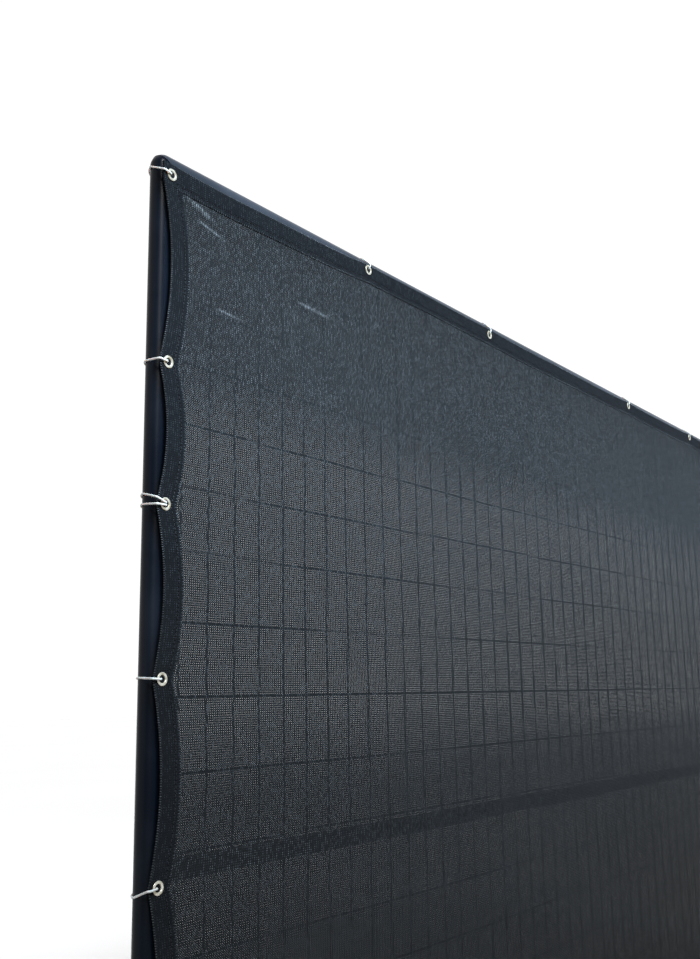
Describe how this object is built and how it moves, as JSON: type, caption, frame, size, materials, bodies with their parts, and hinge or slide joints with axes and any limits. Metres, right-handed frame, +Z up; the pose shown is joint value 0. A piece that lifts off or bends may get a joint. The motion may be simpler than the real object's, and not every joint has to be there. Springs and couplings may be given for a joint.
{
  "type": "privacy mesh screen on fence frame",
  "caption": "Knitted privacy mesh screen with folded hem and round eyelets, looped by light ties to a plain tubular fence frame with wire infill.",
  "frame": {"origin": "centre of the bounding box on the ground, under the middle of the bay between the posts", "axes": "+X along the fence to the right as the screen's face is seen, +Y away from the viewer through the screen towards the fence, +Z up"},
  "size_m": [3.18, 0.19, 1.8025],
  "materials": {
    "tube": "satin powder coat",
    "wire": "satin powder coat",
    "mesh": "open knitted monofilament",
    "eyelet": "pale nickel plate",
    "tie": "matt nylon"
  },
  "bodies": {
    "root": {"base_plate_left": "tube", "base_plate_right": "tube", "eyelet_bottom_1": "eyelet", "eyelet_bottom_2": "eyelet", "eyelet_bottom_3": "eyelet", "eyelet_bottom_4": "eyelet", "eyelet_left_1": "eyelet", "eyelet_left_2": "eyelet", "eyelet_left_3": "eyelet", "eyelet_left_4": "eyelet", "eyelet_left_5": "eyelet", "eyelet_left_6": "eyelet", "eyelet_left_7": "eyelet", "eyelet_right_1": "eyelet", "eyelet_right_2": "eyelet", "eyelet_right_3": "eyelet", "eyelet_right_4": "eyelet", "eyelet_right_5": "eyelet", "eyelet_right_6": "eyelet", "eyelet_right_7": "eyelet", "eyelet_top_1": "eyelet", "eyelet_top_2": "eyelet", "eyelet_top_3": "eyelet", "eyelet_top_4": "eyelet", "mesh_sheet": "mesh", "post_left": "tube", "post_right": "tube", "rail_bottom": "tube", "rail_middle": "tube", "rail_top": "tube", "tie_bottom_1": "tie", "tie_bottom_2": "tie", "tie_bottom_3": "tie", "tie_bottom_4": "tie", "tie_left_1": "tie", "tie_left_2": "tie", "tie_left_3": "tie", "tie_left_4": "tie", "tie_left_5": "tie", "tie_left_5_b": "tie", "tie_left_6": "tie", "tie_left_7": "tie", "tie_right_1": "tie", "tie_right_2": "tie", "tie_right_3": "tie", "tie_right_4": "tie", "tie_right_5": "tie", "tie_right_6": "tie", "tie_right_7": "tie", "tie_top_1": "tie", "tie_top_2": "tie", "tie_top_3": "tie", "tie_top_4": "tie", "wires_cross_lower": "wire", "wires_cross_upper": "wire", "wires_upright_lower": "wire", "wires_upright_upper": "wire"}
  },
  "joints": []
}
